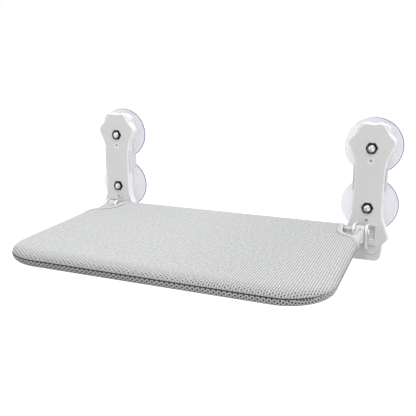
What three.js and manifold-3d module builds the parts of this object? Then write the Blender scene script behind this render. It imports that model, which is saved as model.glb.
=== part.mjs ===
// Folding window perch: a mesh tray hinged between two brackets that suction cups hold on a window.
//
// Millimetres. +X is to the right as one faces the window, +Y points at the glass, +Z is up.
// The origin lies on the glass plane, midway between the brackets and level with the hinge pins.

import * as THREE from 'three';
import { mergeVertices } from 'three/addons/utils/BufferGeometryUtils.js';
import Module from 'manifold-3d';

const wasm = await Module();
wasm.setup();

// ---------------------------------------------------------------- driving dimensions

const FIT_GAP = 0.3; // between pieces that touch

const PLATE_DROP = 62.6; // the plate's lower end, below the lower cup's centre
const PLATE_RISE = 30.6; // its upper end, above the upper cup's centre
const PLATE_THICKNESS = 12.5;
const PLATE_BEVEL = 1.5;
const PLATE_FACE_WALL = 2.6;
const PLATE_SIDE_WALL = 2.4;
const RIB_WIDTH = 1.8;
const NUT_BOSS_WALL = 3.2;
const SCREW_BOSS_WALL = 1.7;

const SPACER_WIDTH = 44; // at the front; it narrows towards the glass
const SPACER_REAR_WIDTH = 43;
const SPACER_FOOT_DROP = 12; // below the plate's lower end
const SPACER_TOP_RISE = 1.7; // above its upper end
const SPACER_CORNER = 9;
const SPACER_FRONT_DEPTH = 1.5; // behind the plate's face
const FRAME_FLOOR = 2.7;
const BASE_FLOOR = 2.4;
const SPINE_WIDTH = 36;
const SCALLOP_CLEARANCE = 1.3; // round a cup's rim, at the glass
const SCALLOP_FLARE = 9.4; // how much less its radius is at the front
const SPACER_WALL = 2.2;

const LOWER_CUP_HEIGHT = 25.7; // its centre, above the hinge pins
const CUP_RADIUS = 39.1;
const CUP_GAP = 3.8; // between the two cups of one bracket
const CUP_DEPTH = 6.5; // hub's face to the glass
const CUP_HUB_RADIUS = 11.5;
const CUP_TAB_WIDTH = 12;
const CUP_TAB_REACH = 0.8;

const BOLT_RADIUS = 4.7;
const BOLT_HEAD_RADIUS = 8;
const BOLT_HEAD_HEIGHT = 2.2;
const BOLT_PROTRUSION = 3.3; // domed end, in front of the plate's face
const NUT_ACROSS_FLATS = 13;
const NUT_HEIGHT = 6.5;
const NUT_POCKET_DEPTH = 4.6;
const NUT_POCKET_CHAMFER = 1.3;

const SCREW_DROP = 16.8; // below each cup's bolt
const SCREW_RADIUS = 1.45;
const SCREW_HEAD_RADIUS = 2.6;
const SCREW_HEAD_HEIGHT = 1.6;
const SCREW_RECESS = 2.4;

const HINGE_STANDOFF = 24.6; // hinge line, in front of the plates
const PIN_RADIUS = 2.5;
const PIN_CLEARANCE = 0.25;
const PIN_HEAD_RIM = 1.3;
const PIN_HEAD_HEIGHT = 1.4;
const HINGE_INSET = 3.8; // hinge centre, inboard of the bracket's centre
const SOCKET_DEPTH = 6; // the cross tube's seat in the arm's knuckle
const KNUCKLE_WALL = 1.2; // round that seat
const EAR_THICKNESS = 3.3;
const EAR_SIDE_GAP = 0.6;
const EAR_WALL = 2.4; // round the cross tube
const EAR_TOP = 4; // where its upper edge meets the plate, above the hinge line
const EAR_DROP = 32.5;
const EAR_BELLY = 26; // how far its lower edge bulges
const PAD_WIDTH = 8.2; // raised pad beside the outer ear, and the recess in it
const PAD_TOP = 3;
const PAD_BOTTOM = -25;
const PAD_RAISE = 1.6;
const RECESS_DEPTH = 3.4;
const RECESS_SILL = 7; // pad's lower edge to the recess
const LEDGE_RAISE = 1.2; // along the pad's lower edge
const LEDGE_HEIGHT = 1.8;
const HEEL_TOP = -8;
const HEEL_BOTTOM = -20;
const HEEL_TOE = 6.5;
const KEEL_LENGTH = 44; // under the arm, from the hinge line
const KEEL_NOSE = 12;
const KEEL_DROP = 13;
const GROOVE_RADIUS = 1.1; // along the arm's top
const GROOVE_DEPTH = 1.7;
const GROOVE_SKEW = 1;

const TRAY_WIDTH = 396;
const TRAY_DEPTH = 281;
const TRAY_CORNER = 56; // front corners, outside
const TUBE_RADIUS = 6;
const TUBE_WALL = 1;
const FABRIC_THICKNESS = 1;
const ARM_LENGTH = 78; // from the cross tube to the arm's shoulder
const SPIGOT_LENGTH = 20;
const BINDING_RADIUS = 0.8;
const BINDING_STEPS = 64;

// ---------------------------------------------------------------- places that follow from them

const FRAME_FLOOR_DEPTH = PLATE_THICKNESS + FIT_GAP;
const SPLIT_DEPTH = FRAME_FLOOR_DEPTH + FRAME_FLOOR; // where the frame ends and the base starts
const BASE_FLOOR_END = SPLIT_DEPTH + FIT_GAP + BASE_FLOOR;
const CUP_FRONT_DEPTH = BASE_FLOOR_END + FIT_GAP;
const STACK_DEPTH = CUP_FRONT_DEPTH + CUP_DEPTH; // front plate's face to the glass
const FACE_Y = -STACK_DEPTH;
const EDGE_RADIUS = TUBE_RADIUS + FIT_GAP + FABRIC_THICKNESS;
const PIN_Y = FACE_Y - HINGE_STANDOFF;
const PIN_HEAD_RADIUS = PIN_RADIUS + PIN_HEAD_RIM;
const KNUCKLE_RADIUS = TUBE_RADIUS + FIT_GAP + KNUCKLE_WALL;
const KNUCKLE_WIDTH = 2 * TUBE_RADIUS;
const EAR_RADIUS = TUBE_RADIUS + FIT_GAP + EAR_WALL;
const SIDE_TUBE_X = TRAY_WIDTH / 2 - EDGE_RADIUS;
const CROSS_TUBE_Y = PIN_Y;
const TRAY_BACK_Y = CROSS_TUBE_Y + EDGE_RADIUS;
const TRAY_FRONT_Y = TRAY_BACK_Y - TRAY_DEPTH;
const FRONT_TUBE_Y = TRAY_FRONT_Y + EDGE_RADIUS;
const ARM_END_Y = CROSS_TUBE_Y - ARM_LENGTH;
const HINGE_X = SIDE_TUBE_X;
const SOCKET_FLOOR_X = HINGE_X - KNUCKLE_WIDTH / 2 + SOCKET_DEPTH;
const BRACKET_X = HINGE_X + HINGE_INSET;
const CUP_SPACING = 2 * CUP_RADIUS + CUP_GAP;
const CUP_HEIGHTS = { lower: LOWER_CUP_HEIGHT, upper: LOWER_CUP_HEIGHT + CUP_SPACING };
const CUP_MID_HEIGHT = LOWER_CUP_HEIGHT + CUP_SPACING / 2;
const PLATE_BOTTOM = CUP_HEIGHTS.lower - PLATE_DROP;
const PLATE_TOP = CUP_HEIGHTS.upper + PLATE_RISE;
const PLATE_MID_HEIGHT = (PLATE_BOTTOM + PLATE_TOP) / 2;
const PLATE_HALF_LENGTH = (PLATE_TOP - PLATE_BOTTOM) / 2;
const SPACER_BOTTOM = PLATE_BOTTOM - SPACER_FOOT_DROP;
const SPACER_TOP = PLATE_TOP + SPACER_TOP_RISE;
const SCALLOP_REAR_RADIUS = CUP_RADIUS + SCALLOP_CLEARANCE;
const SCALLOP_FRONT_RADIUS = SCALLOP_REAR_RADIUS - SCALLOP_FLARE;
const BASE_TOP = CUP_HEIGHTS.upper + 20;

// ---------------------------------------------------------------- finishes

const finish = (color, roughness, metalness = 0) =>
  new THREE.MeshStandardMaterial({ color, roughness, metalness });
const SHELL_PLASTIC = finish('#cfd0cc', 0.45);
const SPACER_PLASTIC = finish('#cbccca', 0.55);
const ARM_PLASTIC = finish('#e4e5e1', 0.45);
const CUP_PVC = finish('#dcd9ee', 0.12);
const BLACK_OXIDE = finish('#1d1e21', 0.4, 0.8);
const STEEL = finish('#b9bcc0', 0.3, 1);
const TUBE_STEEL = finish('#a9a59d', 0.4, 0.8);
const MESH_FABRIC = finish('#d6d6d4', 0.9);
const BINDING_TAPE = finish('#ecece9', 0.85);

// ---------------------------------------------------------------- making solids

function signedVolume(position, index) {
  const [a, b, c] = [new THREE.Vector3(), new THREE.Vector3(), new THREE.Vector3()];
  let volume = 0;
  for (let i = 0; i < index.length; i += 3) {
    a.fromBufferAttribute(position, index[i]);
    b.fromBufferAttribute(position, index[i + 1]);
    c.fromBufferAttribute(position, index[i + 2]);
    volume += a.dot(b.cross(c)) / 6;
  }
  return volume;
}

// A closed geometry as a manifold solid, with its faces turned outwards.
function solid(geometry) {
  const bare = geometry.clone();
  bare.deleteAttribute('normal');
  bare.deleteAttribute('uv');
  const merged = mergeVertices(bare, 1e-4);
  const index = Array.from(merged.index.array);
  const corners = [];
  for (let i = 0; i < index.length; i += 3) {
    const [p, q, r] = [index[i], index[i + 1], index[i + 2]];
    if (p !== q && q !== r && r !== p) corners.push(p, q, r);
  }
  if (signedVolume(merged.attributes.position, corners) < 0) corners.reverse();
  return new wasm.Manifold(new wasm.Mesh({
    numProp: 3,
    vertProperties: new Float32Array(merged.attributes.position.array),
    triVerts: new Uint32Array(corners),
  }));
}

function geometryOf(manifold) {
  const mesh = manifold.getMesh();
  const geometry = new THREE.BufferGeometry();
  geometry.setAttribute('position', new THREE.Float32BufferAttribute(mesh.vertProperties, 3));
  geometry.setIndex(Array.from(mesh.triVerts));
  return geometry;
}

const join = (...solids) => solids.reduce((sum, piece) => sum.add(piece));
const cut = (body, ...tools) => tools.reduce((rest, tool) => rest.subtract(tool), body);

function circle(radius, sides, x = 0, y = 0) {
  const points = [];
  for (let i = 0; i < sides; i += 1) {
    const angle = (i + 0.5) * 2 * Math.PI / sides;
    points.push(new THREE.Vector2(x + radius * Math.cos(angle), y + radius * Math.sin(angle)));
  }
  return points;
}

// An outline in X and Z, extruded between two depths behind the plate's face.
function prismInDepth(points, frontDepth, rearDepth) {
  const geometry = new THREE.ExtrudeGeometry(new THREE.Shape(points), {
    depth: rearDepth - frontDepth,
    bevelEnabled: false,
  });
  geometry.rotateX(Math.PI / 2);
  geometry.translate(0, FACE_Y + rearDepth, 0);
  return solid(geometry);
}

// An outline in Y and Z, extruded along X.
function prismAcross(points, fromX, toX) {
  const geometry = new THREE.ExtrudeGeometry(new THREE.Shape(points), {
    depth: toX - fromX,
    bevelEnabled: false,
  });
  const turn = new THREE.Matrix4().makeBasis(
    new THREE.Vector3(0, 1, 0), new THREE.Vector3(0, 0, 1), new THREE.Vector3(1, 0, 0));
  geometry.applyMatrix4(turn);
  geometry.translate(fromX, 0, 0);
  return solid(geometry);
}

// A profile of [radius, depth] pairs turned about a line square to the glass, at height z.
function turned(profile, z, segments) {
  const points = profile.map(([radius, depth]) => new THREE.Vector2(radius, FACE_Y + depth));
  const geometry = new THREE.LatheGeometry(points, segments);
  geometry.translate(0, 0, z);
  return solid(geometry);
}

// A profile of [radius, x] pairs turned about a line along X.
function turnedAcross(profile, y, z, segments) {
  const points = profile.map(([radius, x]) => new THREE.Vector2(radius, x));
  const geometry = new THREE.LatheGeometry(points, segments);
  geometry.rotateZ(-Math.PI / 2);
  geometry.translate(0, y, z);
  return solid(geometry);
}

function box(x0, x1, y0, y1, z0, z1) {
  const geometry = new THREE.BoxGeometry(x1 - x0, y1 - y0, z1 - z0);
  geometry.translate((x0 + x1) / 2, (y0 + y1) / 2, (z0 + z1) / 2);
  return solid(geometry);
}

const boxInDepth = (x0, x1, frontDepth, rearDepth, z0, z1) =>
  box(x0, x1, FACE_Y + frontDepth, FACE_Y + rearDepth, z0, z1);

function roundRod(from, to, radius, sides) {
  const [start, end] = [new THREE.Vector3(...from), new THREE.Vector3(...to)];
  const geometry = new THREE.CylinderGeometry(radius, radius, start.distanceTo(end), sides);
  const turn = new THREE.Quaternion().setFromUnitVectors(
    new THREE.Vector3(0, 1, 0), end.clone().sub(start).normalize());
  geometry.applyQuaternion(turn);
  geometry.translate(...start.add(end).multiplyScalar(0.5).toArray());
  return solid(geometry);
}

// ---------------------------------------------------------------- the front plate

// One quarter of the plate's face. Its end, from the dip outwards: [half width, distance in from
// the end]. Then its waist: [half width, height above the middle].
const BONE_END = [
  [0, 0], [5.5, -0.8], [10, -1.6], [14, 0.2], [17, 5.3], [20.8, 11.8], [27, 18.2],
  [29.2, 22.6], [27.6, 28.1], [21.8, 41.6], [19.5, 50.6],
];
const BONE_WAIST = [[18.8, 19], [18.7, 0]];

const BONE_POINTS = 64;

function boneOutline(outset) {
  const right = [...BONE_END.map(([x, drop]) => [x, PLATE_HALF_LENGTH - drop]), ...BONE_WAIST];
  const lowerRight = right.slice(0, -1).reverse().map(([x, z]) => [x, -z]);
  const half = [...right, ...lowerRight];
  const left = half.slice(1, -1).reverse().map(([x, z]) => [-x, z]);
  const knots = [...half, ...left].map(([x, z]) => new THREE.Vector3(x, z, 0));
  const curve = new THREE.CatmullRomCurve3(knots, true, 'centripetal');
  const points = curve.getPoints(BONE_POINTS).slice(0, -1);
  return points.map((point, i) => {
    const before = points[(i + points.length - 1) % points.length];
    const after = points[(i + 1) % points.length];
    const along = after.clone().sub(before).normalize();
    return new THREE.Vector2(
      point.x - along.y * outset,
      PLATE_MID_HEIGHT + point.y + along.x * outset);
  });
}

function hexagon(acrossFlats, z) {
  const radius = acrossFlats / Math.sqrt(3);
  const points = [];
  for (let i = 0; i < 6; i += 1) {
    const angle = i * Math.PI / 3;
    points.push(new THREE.Vector2(radius * Math.cos(angle), z + radius * Math.sin(angle)));
  }
  return points;
}

// The flare round a nut's pocket where it meets the plate's face.
function pocketChamfer(z) {
  const radius = (NUT_ACROSS_FLATS + 2 * FIT_GAP) / Math.sqrt(3);
  const flare = NUT_POCKET_CHAMFER * 2 / Math.sqrt(3);
  const points = [[0, -0.1], [radius + flare, -0.1], [radius + flare, 0], [radius, NUT_POCKET_CHAMFER],
    [0, NUT_POCKET_CHAMFER]].map(([across, depth]) => new THREE.Vector2(across, depth));
  const geometry = new THREE.LatheGeometry(points, 6);
  geometry.rotateY(Math.PI / 2);
  geometry.translate(0, FACE_Y, z);
  return solid(geometry);
}

// The plate's outside: a flat face whose edge is rounded over by the bevel.
function plateBlank() {
  const outer = prismInDepth(boneOutline(PLATE_BEVEL), PLATE_BEVEL, PLATE_THICKNESS);
  const geometry = new THREE.ExtrudeGeometry(new THREE.Shape(boneOutline(0)), {
    depth: PLATE_BEVEL,
    bevelEnabled: true,
    bevelSegments: 2,
    bevelSize: PLATE_BEVEL,
    bevelThickness: PLATE_BEVEL,
  });
  geometry.rotateX(Math.PI / 2);
  geometry.translate(0, FACE_Y + 2 * PLATE_BEVEL, 0);
  return join(outer, solid(geometry));
}

// What the mould leaves hollow behind the face: bosses and ribs stay.
function plateCore() {
  const inside = boneOutline(PLATE_BEVEL - PLATE_SIDE_WALL);
  const hollow = prismInDepth(inside, PLATE_FACE_WALL, PLATE_THICKNESS + 1);
  const nutBoss = NUT_ACROSS_FLATS / Math.sqrt(3) + FIT_GAP + NUT_BOSS_WALL;
  const screwBoss = SCREW_HEAD_RADIUS + FIT_GAP + SCREW_BOSS_WALL;
  const kept = [];
  for (const z of Object.values(CUP_HEIGHTS)) {
    kept.push(prismInDepth(circle(nutBoss, 16, 0, z), 0, PLATE_THICKNESS + 2));
    kept.push(prismInDepth(circle(screwBoss, 12, 0, z - SCREW_DROP), 0, PLATE_THICKNESS + 2));
  }
  const ribHeights = [CUP_HEIGHTS.upper + 18, CUP_HEIGHTS.upper, CUP_MID_HEIGHT + 12, CUP_MID_HEIGHT - 8,
    CUP_HEIGHTS.lower];
  for (const z of ribHeights) {
    kept.push(boxInDepth(-SPACER_WIDTH, SPACER_WIDTH, 0, PLATE_THICKNESS + 2,
      z - RIB_WIDTH / 2, z + RIB_WIDTH / 2));
  }
  const [[earsStart]] = earSpans();
  const [, [, earsEnd]] = earSpans();
  kept.push(boxInDepth(-RIB_WIDTH / 2, RIB_WIDTH / 2, 0, PLATE_THICKNESS + 2, SPACER_BOTTOM, SPACER_TOP));
  kept.push(boxInDepth(earsStart - PLATE_SIDE_WALL, earsEnd + PAD_WIDTH + PLATE_FACE_WALL,
    0, PLATE_THICKNESS + 2, -EAR_DROP - 3, EAR_TOP + 4));
  return cut(hollow, ...kept);
}

// An ear's side view: a fin that runs out along the hinge line, round the tube and back down the plate.
function earProfile() {
  const points = [new THREE.Vector2(FACE_Y + 1, EAR_TOP), new THREE.Vector2(FACE_Y, EAR_TOP)];
  const steps = 12;
  const startAngle = Math.atan2(EAR_TOP, HINGE_STANDOFF)
    + Math.acos(EAR_RADIUS / Math.hypot(EAR_TOP, HINGE_STANDOFF));
  const endAngle = Math.PI * 1.13;
  for (let i = 0; i <= steps; i += 1) {
    const angle = startAngle + (endAngle - startAngle) * i / steps;
    points.push(new THREE.Vector2(PIN_Y + EAR_RADIUS * Math.cos(angle), EAR_RADIUS * Math.sin(angle)));
  }
  const arcEnd = points.at(-1);
  const belly = new THREE.Vector2(-Math.sin(endAngle), Math.cos(endAngle)).multiplyScalar(EAR_BELLY);
  const lower = new THREE.QuadraticBezierCurve(
    arcEnd, belly.add(arcEnd), new THREE.Vector2(FACE_Y, -EAR_DROP));
  points.push(...lower.getPoints(9).slice(1));
  points.push(new THREE.Vector2(FACE_Y + 1, -EAR_DROP));
  return points;
}

const earSpans = () => {
  const inner = -HINGE_INSET - KNUCKLE_WIDTH / 2 - EAR_SIDE_GAP;
  const outer = -HINGE_INSET + KNUCKLE_WIDTH / 2 + EAR_SIDE_GAP;
  return [[inner - EAR_THICKNESS, inner], [outer, outer + EAR_THICKNESS]];
};

function frontPlate() {
  let plate = cut(plateBlank(), plateCore());
  for (const [x0, x1] of earSpans()) plate = plate.add(prismAcross(earProfile(), x0, x1));
  const [[tubeStart, tubeEnd], [pinStart, pinEnd]] = earSpans();
  const tubeBore = roundRod([tubeStart - 1, PIN_Y, 0], [tubeEnd + 1, PIN_Y, 0], TUBE_RADIUS + FIT_GAP, 24);
  const pinBore = roundRod([pinStart - 1, PIN_Y, 0], [pinEnd + 1, PIN_Y, 0], PIN_RADIUS + PIN_CLEARANCE, 20);
  const pad = boxInDepth(pinEnd - 1, pinEnd + PAD_WIDTH, -PAD_RAISE, 1, PAD_BOTTOM, PAD_TOP);
  const ledge = boxInDepth(pinEnd - 1, pinEnd + PAD_WIDTH, -PAD_RAISE - LEDGE_RAISE, 1,
    PAD_BOTTOM, PAD_BOTTOM + LEDGE_HEIGHT);
  const recess = boxInDepth(pinEnd, pinEnd + PAD_WIDTH - 1.6, -PAD_RAISE - 1, RECESS_DEPTH,
    PAD_BOTTOM + RECESS_SILL, PAD_TOP - 1.2);
  plate = cut(plate.add(pad).add(ledge), tubeBore, pinBore, recess);
  for (const z of Object.values(CUP_HEIGHTS)) {
    plate = cut(
      plate,
      prismInDepth(hexagon(NUT_ACROSS_FLATS + 2 * FIT_GAP, z), -1, NUT_POCKET_DEPTH),
      pocketChamfer(z),
      prismInDepth(circle(BOLT_RADIUS + FIT_GAP, 16, 0, z), 0, PLATE_THICKNESS + 1),
      prismInDepth(circle(SCREW_HEAD_RADIUS + FIT_GAP, 16, 0, z - SCREW_DROP), -1, SCREW_RECESS),
      prismInDepth(circle(SCREW_RADIUS + FIT_GAP, 12, 0, z - SCREW_DROP), 0, PLATE_THICKNESS + 1),
    );
  }
  return plate;
}

// ---------------------------------------------------------------- the spacer behind the plate

// A round-cornered block between two depths, narrowing towards the glass as a moulding does.
function spacerBlock(frontDepth, rearDepth) {
  const [halfWidth, top, bottom] = [SPACER_WIDTH / 2, SPACER_TOP, SPACER_BOTTOM];
  const shape = new THREE.Shape();
  const corners = [
    [halfWidth, bottom, -Math.PI / 2], [halfWidth, top, 0],
    [-halfWidth, top, Math.PI / 2], [-halfWidth, bottom, Math.PI],
  ];
  for (const [x, z, start] of corners) {
    const centreX = x - Math.sign(x) * SPACER_CORNER;
    const centreZ = z === top ? z - SPACER_CORNER : z + SPACER_CORNER;
    shape.absarc(centreX, centreZ, SPACER_CORNER, start, start + Math.PI / 2, false);
  }
  const geometry = new THREE.ExtrudeGeometry(shape, {
    depth: rearDepth - frontDepth,
    bevelEnabled: false,
    curveSegments: 5,
  });
  geometry.rotateX(Math.PI / 2);
  geometry.translate(0, FACE_Y + rearDepth, 0);
  const position = geometry.attributes.position;
  for (let i = 0; i < position.count; i += 1) {
    const depth = position.getY(i) - FACE_Y - SPACER_FRONT_DEPTH;
    const narrowing = depth / (STACK_DEPTH - SPACER_FRONT_DEPTH) * (1 - SPACER_REAR_WIDTH / SPACER_WIDTH);
    position.setX(i, position.getX(i) * (1 - narrowing));
  }
  return solid(geometry);
}

// The flaring cut that lets a cup's skirt through the spacer's sides.
function scallop(z) {
  return turned([
    [0, SPACER_FRONT_DEPTH - 1], [SCALLOP_FRONT_RADIUS, SPACER_FRONT_DEPTH - 1],
    [SCALLOP_REAR_RADIUS, STACK_DEPTH + 1], [0, STACK_DEPTH + 1],
  ], z, 40);
}

function throughHoles(body) {
  let drilled = body;
  for (const z of Object.values(CUP_HEIGHTS)) {
    drilled = cut(
      drilled,
      prismInDepth(circle(BOLT_RADIUS + FIT_GAP, 16, 0, z), 0, STACK_DEPTH),
      prismInDepth(circle(SCREW_RADIUS + FIT_GAP, 12, 0, z - SCREW_DROP), 0, BASE_FLOOR_END + 1),
    );
  }
  return drilled;
}

// The front half: a tray whose rim shows round the plate, open at the sides for the cups.
function spacerFrame() {
  const spine = boxInDepth(-SPINE_WIDTH / 2, SPINE_WIDTH / 2, 0, STACK_DEPTH, SPACER_BOTTOM, SPACER_TOP);
  const cornerKeep = boxInDepth(-SPACER_WIDTH, SPACER_WIDTH, 0, STACK_DEPTH,
    CUP_HEIGHTS.upper + 17, SPACER_TOP);
  let frame = spacerBlock(SPACER_FRONT_DEPTH, SPLIT_DEPTH);
  frame = cut(frame, prismInDepth(boneOutline(PLATE_BEVEL + FIT_GAP), 0, FRAME_FLOOR_DEPTH));
  frame = cut(frame, cut(scallop(CUP_HEIGHTS.upper), spine, cornerKeep));
  frame = cut(frame, cut(scallop(CUP_HEIGHTS.lower), spine));
  return throughHoles(frame);
}

// The rear half: its pillar between the cups and its foot bear on the glass.
function spacerBase() {
  const start = SPLIT_DEPTH + FIT_GAP;
  const floor = boxInDepth(-SPINE_WIDTH / 2, SPINE_WIDTH / 2, 0, BASE_FLOOR_END, SPACER_BOTTOM, SPACER_TOP);
  let base = cut(spacerBlock(start, STACK_DEPTH),
    boxInDepth(-SPACER_WIDTH, SPACER_WIDTH, 0, STACK_DEPTH + 1, BASE_TOP, SPACER_TOP + 1));
  base = cut(base, cut(scallop(CUP_HEIGHTS.upper), floor), cut(scallop(CUP_HEIGHTS.lower), floor));
  const footTop = CUP_HEIGHTS.lower - SCALLOP_REAR_RADIUS - SPACER_WALL;
  const pocketEdge = SPACER_REAR_WIDTH / 2 - SPACER_WALL;
  const cells = 3;
  const cellWidth = (2 * pocketEdge - (cells - 1) * RIB_WIDTH) / cells;
  for (let i = 0; i < cells; i += 1) {
    const x0 = -pocketEdge + i * (cellWidth + RIB_WIDTH);
    base = cut(base, boxInDepth(x0, x0 + cellWidth, BASE_FLOOR_END, STACK_DEPTH + 1,
      SPACER_BOTTOM + SPACER_WALL + 2, footTop));
  }
  for (const side of [-1, 1]) {
    const inner = side * 9.5;
    const outer = side * pocketEdge;
    base = cut(base, boxInDepth(Math.min(inner, outer), Math.max(inner, outer), BASE_FLOOR_END,
      STACK_DEPTH + 1, CUP_MID_HEIGHT - 2.4, CUP_MID_HEIGHT + 2.4));
  }
  return throughHoles(base);
}

// ---------------------------------------------------------------- cups and their fasteners

const headSeatDepth = () => CUP_FRONT_DEPTH + 1.6;

function suctionCup(z, hasTab) {
  const front = CUP_FRONT_DEPTH;
  const rear = STACK_DEPTH;
  const headRoom = headSeatDepth() + BOLT_HEAD_HEIGHT + FIT_GAP;
  const body = turned([
    [0, front], [CUP_HUB_RADIUS - 1, front], [CUP_HUB_RADIUS, front + 1], [CUP_HUB_RADIUS + 0.4, front + 3.2],
    [CUP_HUB_RADIUS + 3, rear - 3.9], [CUP_RADIUS - 11.1, rear - 2.7], [CUP_RADIUS - 0.8, rear - 1.7],
    [CUP_RADIUS, rear - 1.1], [CUP_RADIUS, rear], [CUP_RADIUS - 13.1, rear],
    [CUP_HUB_RADIUS + 0.5, rear - 0.9], [0, rear - 1.2],
  ], z, 36);
  const neck = turned([
    [0, front - 1], [BOLT_RADIUS + FIT_GAP, front - 1], [BOLT_RADIUS + FIT_GAP, headSeatDepth() - FIT_GAP],
    [BOLT_HEAD_RADIUS + FIT_GAP, headSeatDepth() - FIT_GAP], [BOLT_HEAD_RADIUS + FIT_GAP, headRoom],
    [0, headRoom],
  ], z, 20);
  const cup = cut(body, neck);
  if (!hasTab) return cup;
  const reach = z + CUP_RADIUS + CUP_TAB_REACH;
  const half = CUP_TAB_WIDTH / 2;
  const outline = [
    [-half, z + CUP_RADIUS - 2.5], [half, z + CUP_RADIUS - 2.5], [half, reach - 1.6], [half - 1.6, reach],
    [-half + 1.6, reach], [-half, reach - 1.6],
  ].map(([x, height]) => new THREE.Vector2(x, height));
  return join(cup, prismInDepth(outline, rear - 1.6, rear - 0.3));
}

function cupBolt(z) {
  const seat = headSeatDepth();
  return turned([
    [0, -BOLT_PROTRUSION], [BOLT_RADIUS * 0.42, -BOLT_PROTRUSION + 0.22],
    [BOLT_RADIUS * 0.76, -BOLT_PROTRUSION + 0.9],
    [BOLT_RADIUS, -BOLT_PROTRUSION + 2.1], [BOLT_RADIUS, seat], [BOLT_HEAD_RADIUS, seat],
    [BOLT_HEAD_RADIUS, seat + BOLT_HEAD_HEIGHT], [0, seat + BOLT_HEAD_HEIGHT],
  ], z, 20);
}

// A hexagonal nut with its front corners turned off.
function cupNut(z) {
  const rear = NUT_POCKET_DEPTH - FIT_GAP;
  const front = rear - NUT_HEIGHT;
  const hex = prismInDepth(hexagon(NUT_ACROSS_FLATS, z), front, rear);
  const cornerRadius = NUT_ACROSS_FLATS / Math.sqrt(3);
  const envelope = turned([
    [0, front], [NUT_ACROSS_FLATS / 2 - 0.4, front], [cornerRadius + 0.1, front + 1.1],
    [cornerRadius + 0.1, rear + 1], [0, rear + 1],
  ], z, 24);
  const bore = prismInDepth(circle(BOLT_RADIUS + FIT_GAP, 16, 0, z), front - 1, rear + 1);
  return cut(hex.intersect(envelope), bore);
}

function bodyScrew(z) {
  const seat = SCREW_RECESS - FIT_GAP;
  const head = seat - SCREW_HEAD_HEIGHT;
  const shank = turned([
    [0, head], [SCREW_HEAD_RADIUS - 0.5, head], [SCREW_HEAD_RADIUS, head + 0.6], [SCREW_HEAD_RADIUS, seat],
    [SCREW_RADIUS, seat], [SCREW_RADIUS, BASE_FLOOR_END - 1], [0.4, BASE_FLOOR_END],
    [0, BASE_FLOOR_END],
  ], z, 16);
  const slots = [
    boxInDepth(-1.5, 1.5, head - 1, head + 1.1, z - 0.5, z + 0.5),
    boxInDepth(-0.5, 0.5, head - 1, head + 1.1, z - 1.5, z + 1.5),
  ];
  return cut(shank, ...slots);
}

// ---------------------------------------------------------------- the hinge's pin and keeper

const PIN_TAIL = 1.2; // beyond the keeper
const KEEPER_WIDTH = 1.8;

function hingePin() {
  const [, [, end]] = earSpans();
  const headStart = end + FIT_GAP;
  const tip = SOCKET_FLOOR_X - BRACKET_X - FIT_GAP - KEEPER_WIDTH - PIN_TAIL;
  return turnedAcross([
    [0, tip], [PIN_RADIUS - 0.5, tip], [PIN_RADIUS, tip + 0.5],
    [PIN_RADIUS, headStart], [PIN_HEAD_RADIUS, headStart],
    [PIN_HEAD_RADIUS, headStart + PIN_HEAD_HEIGHT - 0.8],
    [PIN_HEAD_RADIUS - 0.8, headStart + PIN_HEAD_HEIGHT], [0, headStart + PIN_HEAD_HEIGHT],
  ], PIN_Y, 0, 20);
}

// A ring pushed onto the pin's tip before the cross tube goes in over it.
function pinKeeper() {
  const rear = SOCKET_FLOOR_X - BRACKET_X - FIT_GAP;
  const bore = PIN_RADIUS + FIT_GAP;
  return turnedAcross([
    [bore, rear], [bore, rear - KEEPER_WIDTH], [PIN_HEAD_RADIUS - 0.6, rear - KEEPER_WIDTH],
    [PIN_HEAD_RADIUS, rear - 0.6], [PIN_HEAD_RADIUS, rear], [bore, rear],
  ], PIN_Y, 0, 20);
}

// ---------------------------------------------------------------- the corner arm, for the right side

function cornerArm() {
  const [x0, x1] = [HINGE_X - KNUCKLE_WIDTH / 2, HINGE_X + KNUCKLE_WIDTH / 2];
  const sides = 24;
  const knuckle = roundRod([x0, PIN_Y, 0], [x1, PIN_Y, 0], KNUCKLE_RADIUS, sides);
  const limb = roundRod([SIDE_TUBE_X, PIN_Y, 0], [SIDE_TUBE_X, ARM_END_Y, 0], TUBE_RADIUS, sides);
  const spigot = roundRod([SIDE_TUBE_X, ARM_END_Y + 2, 0], [SIDE_TUBE_X, ARM_END_Y - SPIGOT_LENGTH, 0],
    TUBE_RADIUS - TUBE_WALL - FIT_GAP, 16);
  const keel = prismAcross([
    [PIN_Y, 0], [PIN_Y - KEEL_LENGTH, -1], [PIN_Y - KEEL_LENGTH, 1 - TUBE_RADIUS],
    [PIN_Y - KEEL_NOSE, -KEEL_DROP], [FACE_Y - HEEL_TOE, HEEL_BOTTOM], [FACE_Y - FIT_GAP, HEEL_BOTTOM],
    [FACE_Y - FIT_GAP, HEEL_TOP], [PIN_Y + KNUCKLE_RADIUS - 1, -2],
  ].map(([y, z]) => new THREE.Vector2(y, z)), x0, x1);
  const [grooveStart, grooveEnd] = [PIN_Y - KNUCKLE_RADIUS - 1, PIN_Y - KEEL_LENGTH + 4];
  const groove = roundRod([HINGE_X + GROOVE_SKEW, grooveStart, TUBE_RADIUS - GROOVE_DEPTH + GROOVE_RADIUS],
    [HINGE_X - GROOVE_SKEW, grooveEnd, TUBE_RADIUS - GROOVE_DEPTH + GROOVE_RADIUS], GROOVE_RADIUS, 10);
  const socket = roundRod([x0 - 1, PIN_Y, 0], [SOCKET_FLOOR_X, PIN_Y, 0], TUBE_RADIUS + FIT_GAP, sides);
  const pinBore = roundRod([x0, PIN_Y, 0], [x1 + 1, PIN_Y, 0], PIN_RADIUS + PIN_CLEARANCE, 20);
  return cut(join(knuckle, limb, spigot, keel), socket, pinBore, groove);
}

// ---------------------------------------------------------------- the tray's tubes

function tubeSection() {
  const section = new THREE.Shape(circle(TUBE_RADIUS, 16));
  section.holes.push(new THREE.Path(circle(TUBE_RADIUS - TUBE_WALL, 16).reverse()));
  return section;
}

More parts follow.
